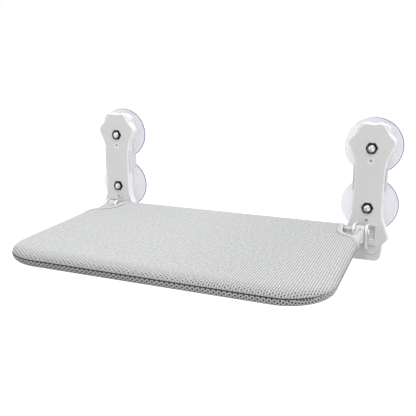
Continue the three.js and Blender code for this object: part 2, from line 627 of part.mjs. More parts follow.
// The bent tube: down one side, across the front and back along the other side.
function frameTube() {
  const bend = TRAY_CORNER - EDGE_RADIUS;
  const quarter = 8;
  const points = [new THREE.Vector3(-SIDE_TUBE_X, ARM_END_Y - FIT_GAP, 0)];
  const bends = [[-SIDE_TUBE_X + bend, Math.PI], [SIDE_TUBE_X - bend, 1.5 * Math.PI]];
  for (const [centreX, startAngle] of bends) {
    for (let i = 0; i <= quarter; i += 1) {
      const angle = startAngle + i / quarter * Math.PI / 2;
      points.push(new THREE.Vector3(
        centreX + bend * Math.cos(angle), FRONT_TUBE_Y + bend + bend * Math.sin(angle), 0));
    }
  }
  points.push(new THREE.Vector3(SIDE_TUBE_X, ARM_END_Y - FIT_GAP, 0));
  return sweepThrough(points, tubeSection());
}

// A section swept through points in turn, one ring at each, mitred between its neighbours.
function sweepThrough(points, section) {
  const { shape, holes } = section.extractPoints(12);
  const loops = [shape, ...holes];
  const up = new THREE.Vector3(0, 0, 1);
  const corners = [];
  for (let i = 0; i < points.length; i += 1) {
    const k = Math.min(i, points.length - 2);
    const leaving = points[k + 1].clone().sub(points[k]).normalize();
    const arriving = i > 0 ? points[i].clone().sub(points[i - 1]).normalize() : leaving;
    const along = arriving.clone().add(leaving).normalize();
    const across = along.clone().cross(up);
    const mitre = 1 / arriving.dot(along);
    for (const loop of loops) {
      for (const place of loop) {
        corners.push(points[i].clone()
          .addScaledVector(across, place.x * mitre).addScaledVector(up, place.y));
      }
    }
  }
  const flat = loops.flat();
  const ring = flat.length;
  const faces = [];
  let offset = 0;
  for (const loop of loops) {
    for (let i = 0; i + 1 < points.length; i += 1) {
      for (let j = 0; j < loop.length; j += 1) {
        const [a, b] = [offset + j, offset + (j + 1) % loop.length];
        faces.push(i * ring + a, (i + 1) * ring + a, (i + 1) * ring + b);
        faces.push(i * ring + a, (i + 1) * ring + b, i * ring + b);
      }
    }
    offset += loop.length;
  }
  const last = (points.length - 1) * ring;
  for (const [a, b, c] of THREE.ShapeUtils.triangulateShape(shape, holes)) {
    faces.push(a, b, c);
    faces.push(last + a, last + c, last + b);
  }
  const geometry = new THREE.BufferGeometry().setFromPoints(corners);
  geometry.setIndex(faces);
  return solid(geometry);
}

function crossTube() {
  const end = SOCKET_FLOOR_X - FIT_GAP;
  return sweepThrough([new THREE.Vector3(-end, CROSS_TUBE_Y, 0), new THREE.Vector3(end, CROSS_TUBE_Y, 0)],
    tubeSection());
}

// ---------------------------------------------------------------- the mesh cover

// The opening that each back corner of the cover leaves round its arm, from the side edge to the
// back edge: [x, y] on the right side.
const NOTCH_KNOTS = [
  [SIDE_TUBE_X + 9, ARM_END_Y + 4], [SIDE_TUBE_X + 3, ARM_END_Y + 18],
  [SIDE_TUBE_X - 3, ARM_END_Y + 26.5], [SIDE_TUBE_X - 12, ARM_END_Y + 31],
  [SIDE_TUBE_X - 18.5, ARM_END_Y + 40], [SIDE_TUBE_X - 22, ARM_END_Y + 58],
  [SIDE_TUBE_X - 24, CROSS_TUBE_Y + 12],
];

function notchCurve(outset) {
  const knots = NOTCH_KNOTS.map(([x, y]) => new THREE.Vector3(x, y, 0));
  const points = new THREE.CatmullRomCurve3(knots, false, 'centripetal').getPoints(12);
  return points.map((point, i) => {
    const before = points[Math.max(i - 1, 0)];
    const after = points[Math.min(i + 1, points.length - 1)];
    const along = after.clone().sub(before).normalize();
    return new THREE.Vector3(point.x + along.y * outset, point.y - along.x * outset, 0);
  });
}

// A flat bag with half-round edges; the tubes run inside those edges.
function sleeve(edgeRadius) {
  const inset = EDGE_RADIUS;
  const [halfWidth, back, front] = [TRAY_WIDTH / 2 - inset, TRAY_BACK_Y - inset, TRAY_FRONT_Y + inset];
  const bend = TRAY_CORNER - inset;
  const shape = new THREE.Shape();
  shape.moveTo(halfWidth, back);
  shape.lineTo(-halfWidth, back);
  shape.absarc(-halfWidth + bend, front + bend, bend, Math.PI, 1.5 * Math.PI, false);
  shape.absarc(halfWidth - bend, front + bend, bend, 1.5 * Math.PI, 2 * Math.PI, false);
  shape.closePath();
  const middle = 0.2;
  const geometry = new THREE.ExtrudeGeometry(shape, {
    depth: middle,
    bevelEnabled: true,
    bevelSegments: 4,
    bevelSize: edgeRadius,
    bevelThickness: edgeRadius - middle / 2,
    curveSegments: 8,
  });
  geometry.translate(0, 0, -middle / 2);
  return solid(geometry);
}

function notchCutter(side) {
  const edge = notchCurve(0).map((point) => new THREE.Vector2(side * point.x, point.y));
  const far = TRAY_WIDTH;
  edge.push(new THREE.Vector2(edge[edge.length - 1].x, TRAY_BACK_Y + 20));
  edge.push(new THREE.Vector2(side * far, TRAY_BACK_Y + 20));
  edge.push(new THREE.Vector2(side * far, edge[0].y));
  const geometry = new THREE.ExtrudeGeometry(new THREE.Shape(edge), { depth: 40, bevelEnabled: false });
  geometry.translate(0, 0, -20);
  return solid(geometry);
}

function meshCover() {
  const bag = cut(sleeve(EDGE_RADIUS), sleeve(EDGE_RADIUS - FABRIC_THICKNESS));
  return cut(bag, notchCutter(1), notchCutter(-1));
}

// How far the cover's surface stands above or below its middle at x, y, near its right back corner.
function bagHeight(x, y, radius) {
  const beyondSide = Math.max(x - SIDE_TUBE_X, 0);
  const beyondBack = Math.max(y - CROSS_TUBE_Y, 0);
  return Math.sqrt(Math.max(radius ** 2 - beyondSide ** 2 - beyondBack ** 2, 0));
}

// The tape that binds a notch's raw edge: a ring over the top, round the cross tube, along the
// underside and up round the side tube, its two ends meeting under the side tube.
function notchBinding() {
  const outset = BINDING_RADIUS + FIT_GAP;
  const radius = EDGE_RADIUS + 0.2;
  const curve = new THREE.CatmullRomCurve3(notchCurve(outset), false, 'centripetal').getSpacedPoints(96);
  const inside = curve.filter(({ x, y }) => (
    x < SIDE_TUBE_X + radius - 0.3 && y < CROSS_TUBE_Y + radius - 0.3));
  const upper = inside.map(({ x, y }) => new THREE.Vector3(x, y, bagHeight(x, y, radius)));
  const lower = upper.map(({ x, y, z }) => new THREE.Vector3(x, y, -z)).reverse();
  const path = new THREE.CatmullRomCurve3([...upper, ...lower], true, 'centripetal');
  const points = path.getSpacedPoints(BINDING_STEPS).slice(0, -1);
  const open = new THREE.CatmullRomCurve3(points, false, 'centripetal');
  const section = new THREE.Shape(circle(BINDING_RADIUS, 5));
  return solid(new THREE.ExtrudeGeometry(section, {
    extrudePath: open,
    steps: BINDING_STEPS,
    bevelEnabled: false,
  }));
}

// ---------------------------------------------------------------- assembly

const perch = new THREE.Group();

function addNode(name, geometry, material, x = 0) {
  const mesh = new THREE.Mesh(geometry, material);
  mesh.name = name;
  mesh.position.x = x;
  perch.add(mesh);
}

// The other hand of a geometry, mirrored in the plane x = 0.
function mirrored(geometry) {
  const copy = geometry.clone();
  const position = copy.attributes.position;
  for (let i = 0; i < position.count; i += 1) position.setX(i, -position.getX(i));
  copy.setIndex(Array.from(copy.index.array).reverse());
  return copy;
}

const plate = geometryOf(frontPlate());
const frame = geometryOf(spacerFrame());
const base = geometryOf(spacerBase());
const pin = geometryOf(hingePin());
const keeper = geometryOf(pinKeeper());
const arm = geometryOf(cornerArm());
const binding = geometryOf(notchBinding());

for (const side of ['left', 'right']) {
  const isLeft = side === 'left';
  const hand = (geometry) => (isLeft ? mirrored(geometry) : geometry);
  const x = isLeft ? -BRACKET_X : BRACKET_X;
  addNode(`${side}_front_plate`, hand(plate), SHELL_PLASTIC, x);
  addNode(`${side}_spacer_frame`, frame, SPACER_PLASTIC, x);
  addNode(`${side}_spacer_base`, base, SPACER_PLASTIC, x);
  for (const [level, z] of Object.entries(CUP_HEIGHTS)) {
    addNode(`${side}_${level}_suction_cup`, geometryOf(suctionCup(z, level === 'upper')), CUP_PVC, x);
    addNode(`${side}_${level}_cup_bolt`, geometryOf(cupBolt(z)), STEEL, x);
    addNode(`${side}_${level}_cup_nut`, geometryOf(cupNut(z)), BLACK_OXIDE, x);
    addNode(`${side}_${level}_body_screw`, geometryOf(bodyScrew(z - SCREW_DROP)), STEEL, x);
  }
  addNode(`${side}_hinge_pin`, hand(pin), STEEL, x);
  addNode(`${side}_pin_keeper`, hand(keeper), STEEL, x);
  addNode(`${side}_corner_arm`, hand(arm), ARM_PLASTIC);
  addNode(`${side}_notch_binding`, hand(binding), BINDING_TAPE);
}

addNode('tray_frame_tube', geometryOf(frameTube()), TUBE_STEEL);
addNode('tray_cross_tube', geometryOf(crossTube()), TUBE_STEEL);
addNode('mesh_cover', geometryOf(meshCover()), MESH_FABRIC);

export default perch;
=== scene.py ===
"""Looks for the folding window perch: a mesh tray hinged between two suction-cup brackets.

Metres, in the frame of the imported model: +X to the right, +Y into the glass, +Z up, the origin on
the glass plane, midway between the brackets and level with the hinge line.
"""

import math

import bmesh
import bpy
from mathutils import Matrix, Vector

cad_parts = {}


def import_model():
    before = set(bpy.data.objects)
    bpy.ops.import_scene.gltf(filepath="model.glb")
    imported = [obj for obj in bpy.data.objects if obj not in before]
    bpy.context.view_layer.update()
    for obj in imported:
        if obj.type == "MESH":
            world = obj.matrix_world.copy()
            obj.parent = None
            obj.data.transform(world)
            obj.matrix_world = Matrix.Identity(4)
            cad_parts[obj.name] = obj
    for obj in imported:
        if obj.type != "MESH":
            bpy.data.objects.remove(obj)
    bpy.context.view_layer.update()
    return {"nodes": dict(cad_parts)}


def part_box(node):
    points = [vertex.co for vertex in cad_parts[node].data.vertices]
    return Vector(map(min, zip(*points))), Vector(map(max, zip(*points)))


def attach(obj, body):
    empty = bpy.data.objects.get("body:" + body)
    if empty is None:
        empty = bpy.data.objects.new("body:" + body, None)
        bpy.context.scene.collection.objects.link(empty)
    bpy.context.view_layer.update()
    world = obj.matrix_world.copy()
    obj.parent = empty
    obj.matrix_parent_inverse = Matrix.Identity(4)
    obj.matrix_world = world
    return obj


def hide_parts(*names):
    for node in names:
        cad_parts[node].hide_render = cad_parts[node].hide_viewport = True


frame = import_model()
MM = 0.001
TURN = 2 * math.pi
SIDES = {"left": -1, "right": 1}
LEVELS = ("upper", "lower")


def middle(node):
    lo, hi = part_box(node)
    return (lo + hi) / 2


PLATE_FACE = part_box("left_spacer_frame")[0].y - 1.5 * MM  # the front plates' flat face
BRACKET_X = middle("right_upper_cup_nut").x  # of a bracket's own middle line
HEAD_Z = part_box("right_upper_cup_nut")[1].z + 6 * MM  # where the brackets' heads narrow
bag_lo, bag_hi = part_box("mesh_cover")
HALF_WIDTH, BACK, FRONT = bag_hi.x, bag_hi.y, bag_lo.y  # the covered tray's outline
EDGE = bag_hi.z  # outside radius of the cloth round a tube

# ------------------------------------------------------------------ camera

SENSOR, LENS = 36.0, 52.157  # millimetres
SHIFT = (0.0619, 0.0292)  # of the picture's width
CAMERA_AT = Vector((0.28599, -0.85532, 0.23423))
YAW, PITCH, ROLL = (math.radians(a) for a in (23.883, -15.654, -0.471))


def make_camera():
    data = bpy.data.cameras.new("camera")
    data.sensor_width, data.lens = SENSOR, LENS
    data.shift_x, data.shift_y = SHIFT
    data.clip_start, data.clip_end = 0.05, 50.0
    camera = bpy.data.objects.new("camera", data)
    bpy.context.scene.collection.objects.link(camera)
    ahead = Vector((-math.sin(YAW) * math.cos(PITCH), math.cos(YAW) * math.cos(PITCH),
                    math.sin(PITCH)))
    level = Vector((math.cos(YAW), math.sin(YAW), 0.0))
    upright = level.cross(ahead)
    right = level * math.cos(ROLL) + upright * math.sin(ROLL)
    up = upright * math.cos(ROLL) - level * math.sin(ROLL)
    turn = Matrix((right, up, -ahead)).transposed()
    camera.matrix_world = Matrix.Translation(CAMERA_AT) @ turn.to_4x4()
    bpy.context.scene.camera = camera


make_camera()

# ------------------------------------------------------------------ shader helpers


class Shader:
    """A node material built a call at a time; most calls return the socket they make."""

    def __init__(self, name, **sockets):
        self.material = bpy.data.materials.new(name)
        self.material.use_nodes = True
        self.tree = self.material.node_tree
        self.surface = self.tree.nodes["Principled BSDF"]
        for key, value in sockets.items():
            self.set(key.replace("_", " "), value)

    def set(self, key, value):
        self.plug(self.surface.inputs[key], value)

    def plug(self, socket, value):
        if isinstance(value, bpy.types.NodeSocket):
            self.tree.links.new(value, socket)
        else:
            socket.default_value = value

    def node(self, kind, inputs=None, **props):
        made = self.tree.nodes.new(kind)
        for key, value in props.items():
            setattr(made, key, value)
        for key, value in (inputs or {}).items():
            self.plug(made.inputs[key], value)
        return made

    def math(self, operation, a, b=0.0):
        return self.node("ShaderNodeMath", {0: a, 1: b}, operation=operation).outputs[0]

    def times(self, a, b):
        return self.math("MULTIPLY", a, b)

    def wave(self, kind, value, period):
        """The sine or cosine of a length that repeats once a period."""
        return self.math(kind, self.times(value, TURN / period))

    def place(self):
        return self.node("ShaderNodeTexCoord").outputs["Object"]

    def facing(self):
        """The surface's direction in the piece's own frame, as three sockets."""
        return self.split(self.node("ShaderNodeTexCoord").outputs["Normal"])

    def split(self, vector):
        return self.node("ShaderNodeSeparateXYZ", {0: vector}).outputs

    def attribute(self, name):
        return self.node("ShaderNodeAttribute", attribute_name=name).outputs["Fac"]

    def noise(self, scale, detail, coords=None, roughness=0.5):
        inputs = {"Scale": scale, "Detail": detail, "Roughness": roughness}
        inputs["Vector"] = coords or self.place()
        return self.node("ShaderNodeTexNoise", inputs).outputs["Fac"]

    def ramp(self, value, low, high, out_low=0.0, out_high=1.0):
        """A smooth step from out_low at low to out_high at high."""
        inputs = {"Value": value, "From Min": low, "From Max": high}
        inputs.update({"To Min": out_low, "To Max": out_high})
        made = self.node("ShaderNodeMapRange", inputs, interpolation_type="SMOOTHSTEP")
        return made.outputs["Result"]

    def mix(self, amount, a, b, blend="MIX"):
        made = self.node("ShaderNodeMix", {"Factor": amount}, data_type="RGBA", blend_type=blend)
        self.plug(made.inputs[6], a)
        self.plug(made.inputs[7], b)
        return made.outputs[2]

    def edge_on(self):
        """0 on a surface square to the glass, 1 on one edge-on to it."""
        return self.math("SUBTRACT", 1.0, self.math("ABSOLUTE", self.facing()[1]))

    def sideways(self):
        """1 on a surface that faces left or right."""
        return self.math("ABSOLUTE", self.facing()[0])

    def reach(self, centre_x, centre_z):
        """Distance from a line along Y, and how far right of it the place is."""
        x, _, z = self.split(self.place())
        dx, dz = self.math("SUBTRACT", x, centre_x), self.math("SUBTRACT", z, centre_z)
        squares = self.math("ADD", self.times(dx, dx), self.times(dz, dz))
        return self.math("SQRT", squares), dx

    def crevice(self, depth):
        """1 in the open, towards 0 in a crevice narrower than the depth."""
        return self.node("ShaderNodeAmbientOcclusion", {"Distance": depth}, samples=8).outputs["AO"]

    def bump(self, height, distance):
        return self.node("ShaderNodeBump", {"Height": height, "Distance": distance}).outputs["Normal"]


def shade(colour, factor):
    return tuple(min(c * factor, 1.0) for c in colour[:3]) + (1.0,)


def srgb(r, g, b):
    """A colour given as 0 to 255 display values, in linear light."""
    shares = [c / 255 for c in (r, g, b)]
    linear = [c / 12.92 if c <= 10 / 255 else ((c + 0.055) / 1.055) ** 2.4 for c in shares]
    return (*linear, 1.0)


# ------------------------------------------------------------------ plastic and metal

INNER, OUTER = 9 * MM, 11 * MM  # across a bracket, where its middle ends and its margins begin


def plate_edges(s):
    """Where the painted highlight goes: 1 where a front plate's margins turn up or to the right, and
    round the nuts' pockets.
    """
    rounded = s.node("ShaderNodeBevel", {"Radius": 3.5 * MM}, samples=16).outputs[0]
    flat = s.node("ShaderNodeNewGeometry").outputs["Normal"]
    compare = s.node("ShaderNodeVectorMath", {0: rounded, 1: flat}, operation="DOT_PRODUCT")
    same = compare.outputs["Value"]  # 1 on a flat, less towards an edge
    x, _, z = s.split(s.place())
    across = s.math("ABSOLUTE", s.math("SUBTRACT", s.math("ABSOLUTE", x), BRACKET_X))
    pocket = s.times(s.ramp(same, 0.965, 0.995, 1.0, 0.0), s.ramp(across, INNER, OUTER, 0.8, 0.0))
    turned = s.times(s.ramp(across, INNER, OUTER), s.ramp(s.split(rounded)[0], -0.3, -0.1))
    outline = s.times(s.ramp(same, 0.985, 0.999, 1.0, 0.0), turned)
    above_hinge = s.ramp(z, 8 * MM, 11 * MM)
    beside_pad = s.ramp(across, 24 * MM, 26 * MM)
    return s.times(s.math("MAXIMUM", pocket, outline), s.math("MAXIMUM", above_hinge, beside_pad))


def moulded_plastic(name, colour, roughness, shade_and_dust, rim=None, fin_highlight_and_shade=None, crown_highlight=None):
    """Satin moulding: faint flow tone, spark-eroded grain, painted highlights on the edges, painted
    shade and dust in the crevices.

    The rim colour is a painted highlight on the edges behind the plates' face; the fin colours are a
    painted highlight on the narrow edges of what stands well in front of it and painted shade on its
    sides; the crown colour is a painted highlight on the brackets' heads.
    """
    s = Shader(name, Roughness=roughness)
    _, y, z = s.split(s.place())
    flow = s.ramp(s.noise(14.0, 3.0), 0.3, 0.7)
    body = s.mix(flow, shade(colour, 0.975), shade(colour, 1.02))
    if rim is not None:
        # painted highlight: the rim colour on edge-on faces behind the plates' face
        behind = s.ramp(y, PLATE_FACE - 0.4 * MM, PLATE_FACE)
        if fin_highlight_and_shade is None:
            edge_highlight = s.ramp(s.edge_on(), 0.1, 0.55)
        else:
            edge_highlight = s.math("MAXIMUM", s.ramp(s.edge_on(), 0.08, 0.28), plate_edges(s))
        body = s.mix(s.times(behind, edge_highlight), body, rim)
    if crown_highlight is not None:
        # painted highlight: the brackets' heads are painted paler above HEAD_Z
        body = s.mix(s.ramp(z, HEAD_Z, HEAD_Z + 3 * MM), body, crown_highlight)
    if fin_highlight_and_shade is not None:
        # painted highlight on the narrow edges of what stands in front of the plates' face, painted
        # shade on its sides
        ahead = s.ramp(y, PLATE_FACE - 3.2 * MM, PLATE_FACE - 2.9 * MM, 1.0, 0.0)
        sides = s.ramp(s.sideways(), 0.4, 0.8)
        body = s.mix(ahead, body, s.mix(sides, fin_highlight_and_shade[0], fin_highlight_and_shade[1]))
    speck = s.ramp(s.noise(2600.0, 1.0), 0.7, 0.78, 0.0, 0.1)
    body = s.mix(speck, body, shade(colour, 0.8))
    # painted shade, with dust: darker in crevices found by ambient occlusion
    shade_and_dust_mask = s.ramp(s.crevice(3 * MM), 0.1, 0.75, shade_and_dust, 0.0)
    s.set("Base Color", s.mix(shade_and_dust_mask, body, shade(colour, 0.3)))
    s.set("Roughness", s.ramp(s.noise(60.0, 3.0), 0.3, 0.7, roughness - 0.06, roughness + 0.07))
    s.set("Specular IOR Level", 0.4)
    s.set("Normal", s.bump(s.noise(1800.0, 2.0), 0.04 * MM))
    return s.material


def plated_steel(name, colour, roughness, turning=0.03 * MM, recess=0.0):
    """Metal with fine turning marks and a slightly clouded plating, with painted shade in its
    recesses.
    """
    s = Shader(name, Metallic=0.6 if recess else 1.0)
    cloud = s.ramp(s.noise(220.0, 3.0), 0.3, 0.7)
    body = s.mix(cloud, shade(colour, 0.92), shade(colour, 1.03))
    if recess:
        # painted shade in the recesses, found by ambient occlusion
        recess_shade = s.ramp(s.crevice(0.8 * MM), 0.35, 0.85, recess, 0.0)
        body = s.mix(recess_shade, body, shade(colour, 0.03))
    s.set("Base Color", body)
    s.set("Roughness", s.ramp(s.noise(900.0, 3.0), 0.3, 0.75, roughness * 0.75, roughness * 1.4))
    s.set("Normal", s.bump(s.noise(2400.0, 2.0), turning))
    return s.material


def black_nut(node):
    """A blackened nut whose face is ground bright round the bolt."""
    s = Shader(f"{node}_finish", Metallic=0.75)
    axis = middle(node)
    dark = s.mix(s.ramp(s.noise(700.0, 3.0), 0.35, 0.7), srgb(10, 10, 12), srgb(26, 26, 29))
    ground = s.ramp(s.reach(axis.x, axis.z)[0], 5.0 * MM, 5.2 * MM, 1.0, 0.0)
    s.set("Base Color", s.mix(ground, dark, srgb(206, 206, 208)))
    s.set("Roughness", s.ramp(s.noise(500.0, 2.0), 0.3, 0.7, 0.3, 0.48))
    s.set("Normal", s.bump(s.noise(1500.0, 2.0), 0.04 * MM))
    return s.material


def cross_head(node):
    """A small plated screw with painted shade in its cross recess."""
    s = Shader(f"{node}_finish", Metallic=0.6)
    axis, head = middle(node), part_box(node)[0].y
    cloud = s.ramp(s.noise(220.0, 3.0), 0.3, 0.7)
    plate = s.mix(cloud, (0.79, 0.8, 0.83, 1), (0.88, 0.89, 0.92, 1))
    sunk = s.ramp(s.split(s.place())[1], head + 0.12 * MM, head + 0.22 * MM)
    # painted shade: the cross recess below the head's face is painted dark
    slot_shade = s.times(sunk, s.ramp(s.reach(axis.x, axis.z)[0], 1.5 * MM, 1.7 * MM, 1.0, 0.0))
    s.set("Base Color", s.mix(slot_shade, plate, srgb(36, 36, 38)))
    s.set("Roughness", s.ramp(s.noise(900.0, 3.0), 0.3, 0.75, 0.26, 0.49))
    s.set("Normal", s.bump(s.noise(2400.0, 2.0), 0.03 * MM))
    return s.material


def coated_tube(name):
    """Grey powder coat: orange peel, dull bloom and small chips."""
    s = Shader(name, Metallic=0.35)
    grey = srgb(200, 199, 196)
    body = s.mix(s.ramp(s.noise(120.0, 3.0), 0.3, 0.7), shade(grey, 0.85), shade(grey, 1.08))
    chips = s.ramp(s.noise(900.0, 2.0), 0.72, 0.76)
    s.set("Base Color", s.mix(chips, body, srgb(132, 130, 126)))
    s.set("Roughness", s.ramp(s.noise(300.0, 2.0), 0.3, 0.7, 0.38, 0.52))
    s.set("Normal", s.bump(s.noise(1100.0, 2.0), 0.08 * MM))
    return s.material


def clear_pvc(name, centre_x, centre_z, radius):
    """Soft clear PVC with a violet tint, painted paler on its left side, with a painted highlight
    just inside the lip and a line round the rim painted as dark blue shade on the rim's right side.
    """
    s = Shader(name, Roughness=0.12, IOR=1.4)
    reach, dx = s.reach(centre_x, centre_z)
    right = s.ramp(dx, -0.75 * radius, 0.7 * radius)
    body = s.mix(s.ramp(s.noise(30.0, 2.0), 0.3, 0.7), srgb(205, 203, 214), srgb(213, 210, 221))
    # painted light: the cup's left side is painted paler than its right
    body = s.mix(right, srgb(232, 230, 240), body)
    # painted highlight just inside the lip
    lip_highlight = s.ramp(reach, radius - 3.2 * MM, radius - 1.8 * MM)
    body = s.mix(lip_highlight, body, srgb(240, 240, 248))
    # painted shade line round the rim, dark blue on the right side, pale on the left
    line = s.mix(right, srgb(222, 221, 240), srgb(104, 108, 158))
    rim = s.ramp(reach, radius - 1.5 * MM, radius - 0.8 * MM)
    s.set("Base Color", s.mix(rim, body, line))
    skin = s.ramp(reach, 8 * MM, 14 * MM, 0.7, 0.38)  # clouded over the bolt's head, clearer beyond
    s.set("Alpha", s.mix(rim, skin, s.ramp(right, 0.0, 1.0, 0.4, 0.9)))
    s.set("Normal", s.bump(s.noise(60.0, 1.0), 0.02 * MM))
    return s.material


# the rim, fin and crown colours are painted highlights, the fins' sides painted shade, and the
# crevice darkening painted shade with dust
SHELL = moulded_plastic("shell_plastic", srgb(216, 217, 214), roughness=0.46, shade_and_dust=0.06,
                        rim=srgb(250, 252, 251), fin_highlight_and_shade=(srgb(240, 241, 238), srgb(196, 196, 193)))
SPACER = moulded_plastic("spacer_plastic", srgb(216, 217, 216), roughness=0.5, shade_and_dust=0.1,
                         rim=srgb(226, 227, 226), crown_highlight=srgb(246, 247, 246))
ARM = moulded_plastic("arm_plastic", srgb(212, 213, 210), roughness=0.42, shade_and_dust=0.8)
BRIGHT = plated_steel("bright_steel", (0.66, 0.67, 0.7, 1), roughness=0.16, turning=0.006 * MM)
# the pin gets painted shade in its recesses
PIN = plated_steel("pin_steel", (0.86, 0.87, 0.9, 1), roughness=0.35, recess=0.9)
TUBE = coated_tube("tube_coat")

# ------------------------------------------------------------------ cloth

HOLE_ACROSS, HOLE_ALONG = 5.8 * MM, 4.5 * MM  # the repeat; a second hole sits at its middle
SLACK_X, TAUT_X = -60 * MM, 120 * MM  # the cloth is tighter towards the right
STRETCHED, UNSTRETCHED = FRONT + 14 * MM, FRONT + 48 * MM  # the front edge pulls the holes open


def air_mesh(name, yarn, hole_shade, open_at, pit_depth, front_yarn_shade, front_hole_shade, front_shade):
    """Warp-knit spacer mesh in the cloth's own flat coordinates: staggered holes, ribs of yarn.

    Along the front edge the stretched holes open wider. The holes' colour is painted shade, and near
    the front edge the yarn and holes get darker painted shade. The "edge" attribute says how near the
    front edge a place is, from 0 on the flat of the cloth, and so how much of that painted shade it
    gets.
    """
    s = Shader(name, Roughness=0.85)
    front = s.attribute("edge")
    cloth = s.node("ShaderNodeUVMap", uv_map="cloth").outputs["UV"]
    u, v, _ = s.split(cloth)
    taut = s.ramp(u, SLACK_X, TAUT_X, 0.15, 1.0)

    pulled = s.ramp(v, STRETCHED, UNSTRETCHED, 1.0, 0.0)
    opened = s.math("MAXIMUM", pulled, s.math("ADD", 0.45, s.times(taut, 0.35)))
    opened = s.times(opened, s.ramp(front, 0.85, 0.97, 1.0, 0.25))
    lattice = s.times(s.wave("COSINE", u, HOLE_ACROSS), s.wave("COSINE", v, HOLE_ALONG))
    hole = s.times(s.ramp(lattice, open_at, open_at + 0.5), opened)
    ribs = s.wave("COSINE", u, HOLE_ACROSS / 2)
    strands = s.times(s.wave("SINE", v, HOLE_ALONG / 6), s.wave("SINE", u, HOLE_ACROSS / 5))
    fuzz = s.noise(2600.0, 3.0, cloth, 0.7)
    grain = s.noise(290.0, 3.0, cloth, 0.75)
    mottle = s.noise(45.0, 3.0, cloth)

    base = s.mix(s.ramp(mottle, 0.3, 0.7), shade(yarn, 1.04), shade(yarn, 1.08))
    # painted shade: the yarn darkens towards the front edge
    base = s.mix(front, base, front_yarn_shade)
    base = s.mix(s.times(taut, 0.8), base, shade(yarn, 1.3))
    base = s.mix(s.times(taut, s.ramp(ribs, -1.0, 1.0, 0.0, 0.9)), base, shade(yarn, 0.6))
    base = s.mix(s.ramp(grain, 0.38, 0.62, 0.0, 0.42), base, shade(yarn, 0.42))
    base = s.mix(s.ramp(fuzz, 0.4, 0.65, 0.0, 0.22), base, shade(yarn, 0.72))
    base = s.mix(s.ramp(strands, 0.1, 0.9, 0.0, 0.18), base, shade(yarn, 1.15))
    shadow = (front_shade, front_shade, front_shade, 1)
    base = s.mix(s.times(front, taut), base, shadow, "MULTIPLY")
    # the holes' colour is painted shade, deeper near the front edge
    hole_shade = s.mix(s.ramp(front, 0.0, 0.3), hole_shade, front_hole_shade)
    s.set("Base Color", s.mix(hole, base, hole_shade))

    s.set("Sheen Weight", 0.15)
    s.set("Sheen Roughness", 0.5)
    s.set("Specular IOR Level", 0.2)
    height = s.math("ADD", s.ramp(hole, 0.0, 1.0, 1.0, 0.0), s.times(ribs, -0.12))
    height = s.math("ADD", height, s.times(strands, 0.06))
    s.set("Normal", s.bump(s.math("ADD", height, s.times(fuzz, 0.1)), pit_depth))
    return s.material


def woven_tape(name, colour, pitch=0.9 * MM, front_shade_colour=None):
    """Fine ribbed tape with a little fluff; along the tray's front it may take a painted shade
    colour.
    """
    s = Shader(name, Roughness=0.9)
    x, y, z = s.split(s.place())
    run = s.math("ADD", y, z)
    weave = s.times(s.wave("SINE", s.math("ADD", x, run), pitch),
                    s.wave("SINE", s.math("SUBTRACT", x, run), pitch))
    if front_shade_colour is None:
        body = s.mix(s.ramp(weave, -0.8, 0.8), shade(colour, 0.86), shade(colour, 1.03))
    else:
        tone = s.mix(s.attribute("edge"), colour, front_shade_colour)
        body = s.mix(s.ramp(weave, -0.8, 0.8, 0.0, 0.15), tone, (0.5, 0.5, 0.5, 1))
        colour = shade(front_shade_colour, 0.9)
    fluff = s.ramp(s.noise(900.0, 3.0), 0.4, 0.7, 0.0, 0.2)
    s.set("Base Color", s.mix(fluff, body, shade(colour, 0.8)))
    s.set("Sheen Weight", 0.2)
    s.set("Sheen Roughness", 0.5)
    s.set("Specular IOR Level", 0.2)
    s.set("Normal", s.bump(weave, 0.12 * MM))
    return s.material


# the hole and front colours below are painted shade
TOP_MESH = air_mesh("mesh_top", yarn=srgb(207, 207, 206), hole_shade=srgb(168, 168, 168), open_at=0.25,
                    pit_depth=0.5 * MM, front_yarn_shade=srgb(166, 166, 165), front_hole_shade=srgb(98, 98, 98),
                    front_shade=0.8)
LOW_MESH = air_mesh("mesh_low", yarn=srgb(206, 206, 205), hole_shade=srgb(150, 150, 150), open_at=0.05,
                    pit_depth=0.8 * MM, front_yarn_shade=srgb(152, 152, 150), front_hole_shade=srgb(66, 66, 65),
                    front_shade=1.0)
BINDING = woven_tape("binding_tape", srgb(240, 240, 237))
HEM = woven_tape("hem_tape", srgb(232, 232, 229), pitch=0.6 * MM)
# the seam tape's front colour is painted shade in the seam's groove
SEAM_TAPE = woven_tape("seam_tape", srgb(188, 188, 187), front_shade_colour=srgb(46, 46, 47))
THREAD = woven_tape("thread", srgb(226, 226, 223), pitch=0.5 * MM)

# ------------------------------------------------------------------ making pieces


def link(name, mesh, material):
    piece = bpy.data.objects.new(name, mesh)
    bpy.context.scene.collection.objects.link(piece)
    mesh.materials.clear()
    mesh.materials.append(material)
    for face in mesh.polygons:
        face.use_smooth = True
    return piece


def mesh_from(name, points, faces):
    mesh = bpy.data.meshes.new(name)
    mesh.from_pydata([tuple(p) for p in points], [], faces)
    mesh.validate()
    build = bmesh.new()
    build.from_mesh(mesh)
    bmesh.ops.recalc_face_normals(build, faces=build.faces)
    build.to_mesh(mesh)
    build.free()
    return mesh


def between(one, two):
    """The faces between two rings of as many points; a ring of one point is a tip."""
    faces = []
    count = max(len(one), len(two))
    for i in range(count):
        j = (i + 1) % count
        if len(one) == 1:
            faces.append((one[0], two[j], two[i]))
        elif len(two) == 1:
            faces.append((one[i], one[j], two[0]))
        else:
            faces.append((one[i], one[j], two[j], two[i]))
    return faces


def soften(piece):
    """Smooth shading that keeps edges of more than 50 degrees sharp."""
    piece.data.set_sharp_from_angle(angle=math.radians(50))


